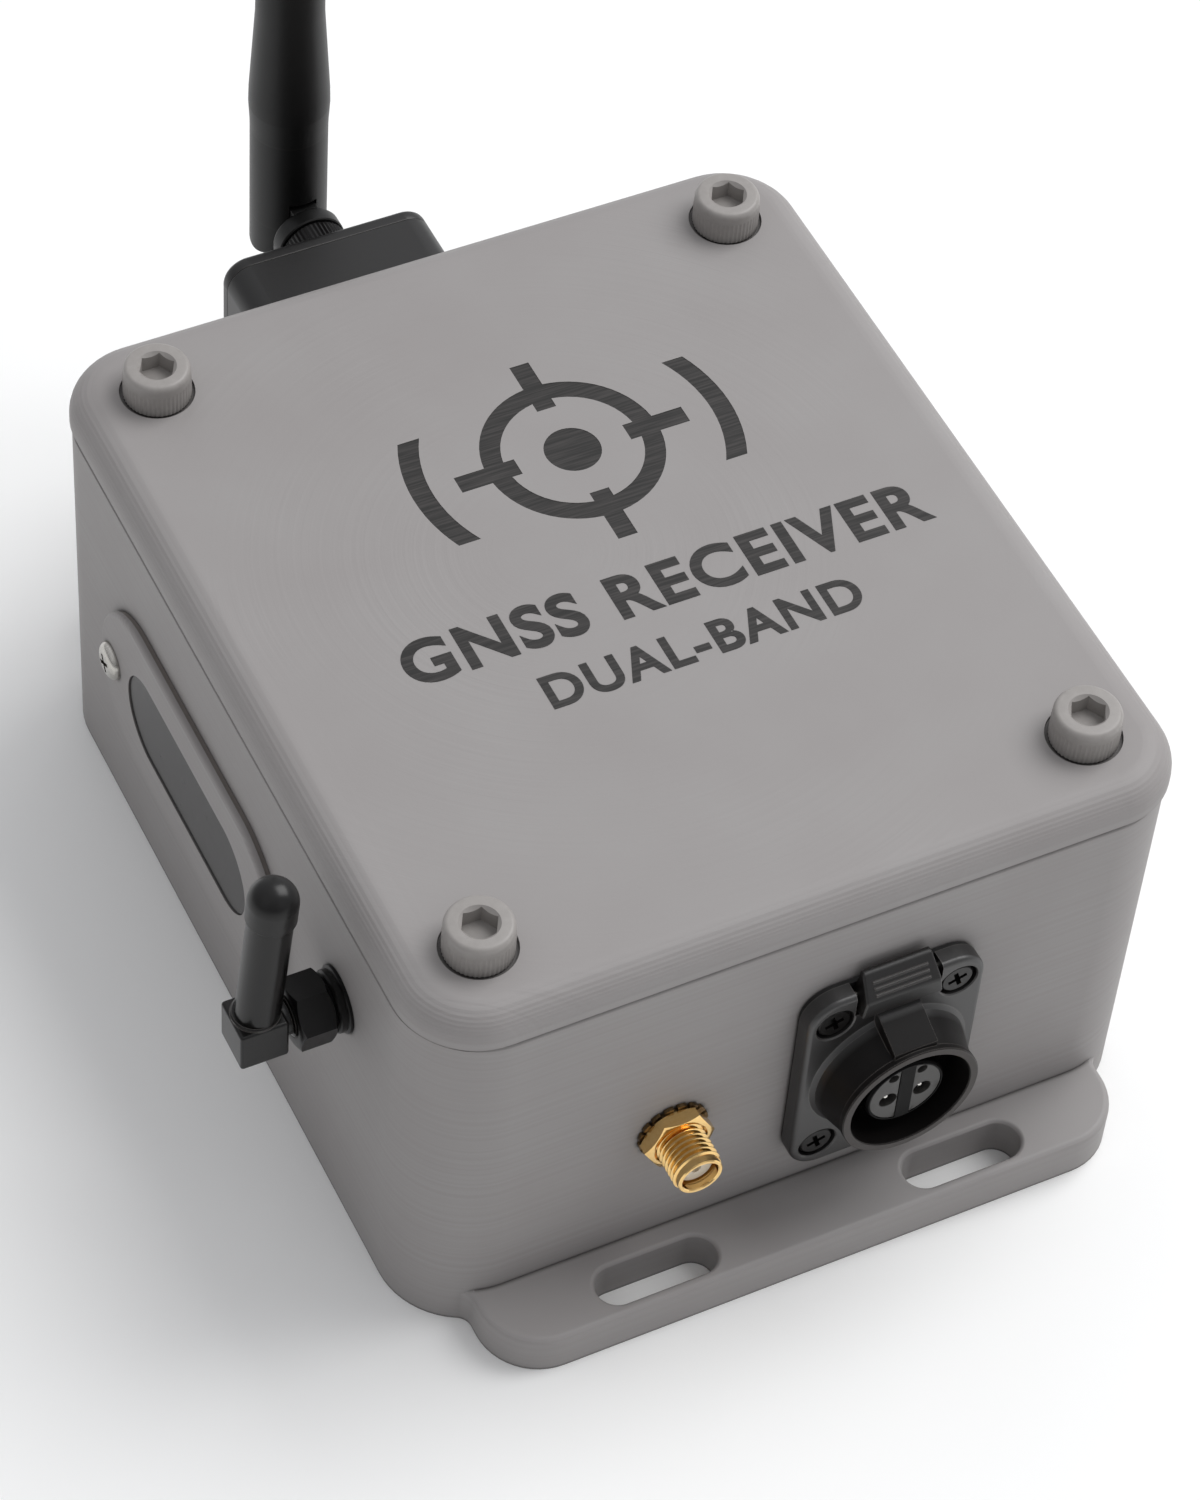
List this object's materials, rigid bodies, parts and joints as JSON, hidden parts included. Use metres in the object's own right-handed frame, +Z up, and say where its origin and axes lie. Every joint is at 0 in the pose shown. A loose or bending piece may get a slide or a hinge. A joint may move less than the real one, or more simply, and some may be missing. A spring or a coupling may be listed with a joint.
{
  "type": "gnss receiver",
  "caption": "Rounded printed box with screwed lid and slotted mounting tabs, a coaxial jack, a latching power socket, a status window, a swivel stub antenna and a folding whip antenna.",
  "frame": {"origin": "middle of the box's underside", "axes": "+Z up out of the lid, -Y out of the connector face, -X out of the window face"},
  "size_m": [0.1137, 0.1568, 0.147],
  "materials": {
    "case_grey": "printed grey plastic, fine layer lines",
    "inlay_black": "black inlay, brushed",
    "seal_rubber": "black sheet rubber",
    "screw_grey": "grey coated steel",
    "insert_brass": "turned brass",
    "gold_plate": "gold plated brass",
    "dark_steel": "blackened spring steel",
    "white_insulator": "white fluoropolymer",
    "black_shell": "black coated die casting",
    "black_screw": "black oxide steel",
    "black_insulator": "black moulded plastic",
    "carrier_grey": "pale grey moulded plastic",
    "contact_metal": "tin plated contact",
    "latch_black": "satin black moulded plastic",
    "spring_steel": "spring wire",
    "lens_smoke": "smoked polycarbonate",
    "screw_steel": "zinc plated steel",
    "board_green": "solder resist on glass-epoxy",
    "led_clear": "clear epoxy",
    "nut_black": "black chromate brass",
    "stub_black": "black moulded plastic",
    "cap_black": "glossy black cap",
    "radiator_copper": "copper",
    "radio_black": "black moulded plastic",
    "whip_black": "black elastomer over a rod",
    "module_tin": "tinned shield can",
    "chip_black": "moulded package",
    "sink_black": "black anodised",
    "cell_steel": "nickel plated steel",
    "socket_ivory": "ivory nylon",
    "lead_black": "black jacket",
    "lead_colour": "coloured wire insulation"
  },
  "bodies": {
    "enclosure": {"base_housing": "case_grey", "lid": "case_grey", "lid_emblem": "inlay_black", "lid_gasket": "seal_rubber", "lid_screws": "screw_grey", "lid_inserts": "insert_brass", "gnss_jack": "gold_plate", "gnss_jack_nut": "gold_plate", "gnss_jack_washer": "dark_steel", "stub_jack": "gold_plate", "stub_jack_nut": "nut_black", "whip_jack": "gold_plate", "whip_jack_nut": "nut_black", "jack_insulators": "white_insulator", "jack_contacts": "gold_plate", "power_shell": "black_shell", "power_seal": "seal_rubber", "power_screws": "black_screw", "power_insert": "black_insulator", "contact_carriers": "carrier_grey", "power_contacts": "contact_metal", "latch_pin": "screw_steel", "latch_spring": "spring_steel", "window_bezel": "case_grey", "window_seal": "seal_rubber", "window_lens": "lens_smoke", "window_screws": "screw_steel", "status_board": "board_green", "status_leds": "led_clear", "status_screws": "screw_steel", "stub_coupling_nut": "nut_black", "radio_case": "radio_black", "radio_seal": "seal_rubber", "radio_cover": "radio_black", "radio_screws": "black_screw", "radio_board": "board_green", "radio_chip": "chip_black", "whip_coupling_nut": "nut_black", "main_board": "board_green", "board_screws": "screw_steel", "receiver_module": "module_tin", "processor": "chip_black", "heat_sink": "sink_black", "cell_holder": "black_insulator", "backup_cell": "cell_steel", "lead_sockets": "socket_ivory", "gnss_lead": "lead_black", "stub_lead": "lead_black", "power_leads": "lead_colour", "status_lead": "lead_black", "radio_lead": "lead_black"},
    "latch": {"latch_lever": "latch_black"},
    "stub_antenna": {"stub_elbow": "stub_black", "stub_sleeve": "stub_black", "stub_radiator": "radiator_copper", "stub_cap": "cap_black"},
    "whip_base": {"whip_knuckle": "whip_black"},
    "whip": {"whip_sleeve": "whip_black", "whip_radiator": "radiator_copper", "whip_hinge_pin": "screw_steel"}
  },
  "joints": [
    {"name": "latch_rock", "type": "hinge", "parent": "enclosure", "child": "latch", "pos_m": [0.0094, -0.059, 0.0428], "axis": [-1, 0, 0], "range_deg": [0, 7], "stiffness_Nm_per_rad": 0.05},
    {"name": "stub_swivel", "type": "hinge", "parent": "enclosure", "child": "stub_antenna", "pos_m": [-0.056, -0.0332, 0.0392], "axis": [-1, 0, 0], "continuous": true},
    {"name": "whip_swivel", "type": "hinge", "parent": "enclosure", "child": "whip_base", "pos_m": [-0.0054, 0.075, 0.0455], "axis": [0, 1, 0], "continuous": true},
    {"name": "whip_tilt", "type": "hinge", "parent": "whip_base", "child": "whip", "pos_m": [-0.0054, 0.084, 0.0455], "axis": [-1, 0, 0], "range_deg": [0, 90]}
  ]
}
